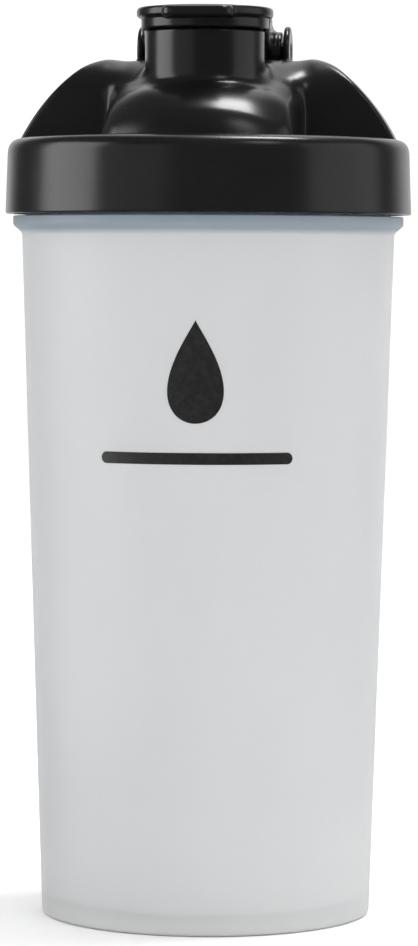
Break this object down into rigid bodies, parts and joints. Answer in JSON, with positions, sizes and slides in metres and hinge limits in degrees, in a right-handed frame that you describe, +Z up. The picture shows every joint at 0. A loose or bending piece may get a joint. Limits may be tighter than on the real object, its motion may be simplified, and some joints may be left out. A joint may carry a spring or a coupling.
{
  "type": "shaker bottle",
  "caption": "Tapered translucent shaker cup with a black screw lid, domed top, drinking spout, hinged flip cap and an inner mixing grid.",
  "frame": {"origin": "centre of the cup's foot ring, on the surface that the cup stands on", "axes": "+Z up along the cup's axis, -Y towards the drinking side, +X to the right seen from the drinking side"},
  "size_m": [0.09, 0.09, 0.2004],
  "materials": {
    "frosted_cup": "frosted, translucent",
    "black_plastic": "satin moulded",
    "pin_plastic": "smooth",
    "seal_rubber": "soft, matt",
    "grid_plastic": "moulded",
    "print_ink": "screen-printed"
  },
  "bodies": {
    "cup": {"cup": "frosted_cup"},
    "gasket": {"lid_gasket": "seal_rubber"},
    "lid": {"screw_lid": "black_plastic", "mixing_grid": "grid_plastic", "hinge_pin": "pin_plastic"},
    "cap": {"flip_cap": "black_plastic", "spout_seal": "seal_rubber"}
  },
  "joints": [
    {"name": "lid_rise", "type": "slide", "parent": "cup", "child": "gasket", "axis": [0, 0, 1], "range_m": [0, 0.0061]},
    {"name": "lid_turn", "type": "hinge", "parent": "gasket", "child": "lid", "pos_m": [0, 0, 0.162], "axis": [0, 0, 1], "range_deg": [0, 540]},
    {"name": "cap_flip", "type": "hinge", "parent": "lid", "child": "cap", "pos_m": [0, 0.013, 0.192], "axis": [-1, 0, 0], "range_deg": [0, 120]}
  ],
  "couplings": [
    {"joint": "lid_rise", "follows": "lid_turn", "m_per_rad": 0.00063662}
  ]
}
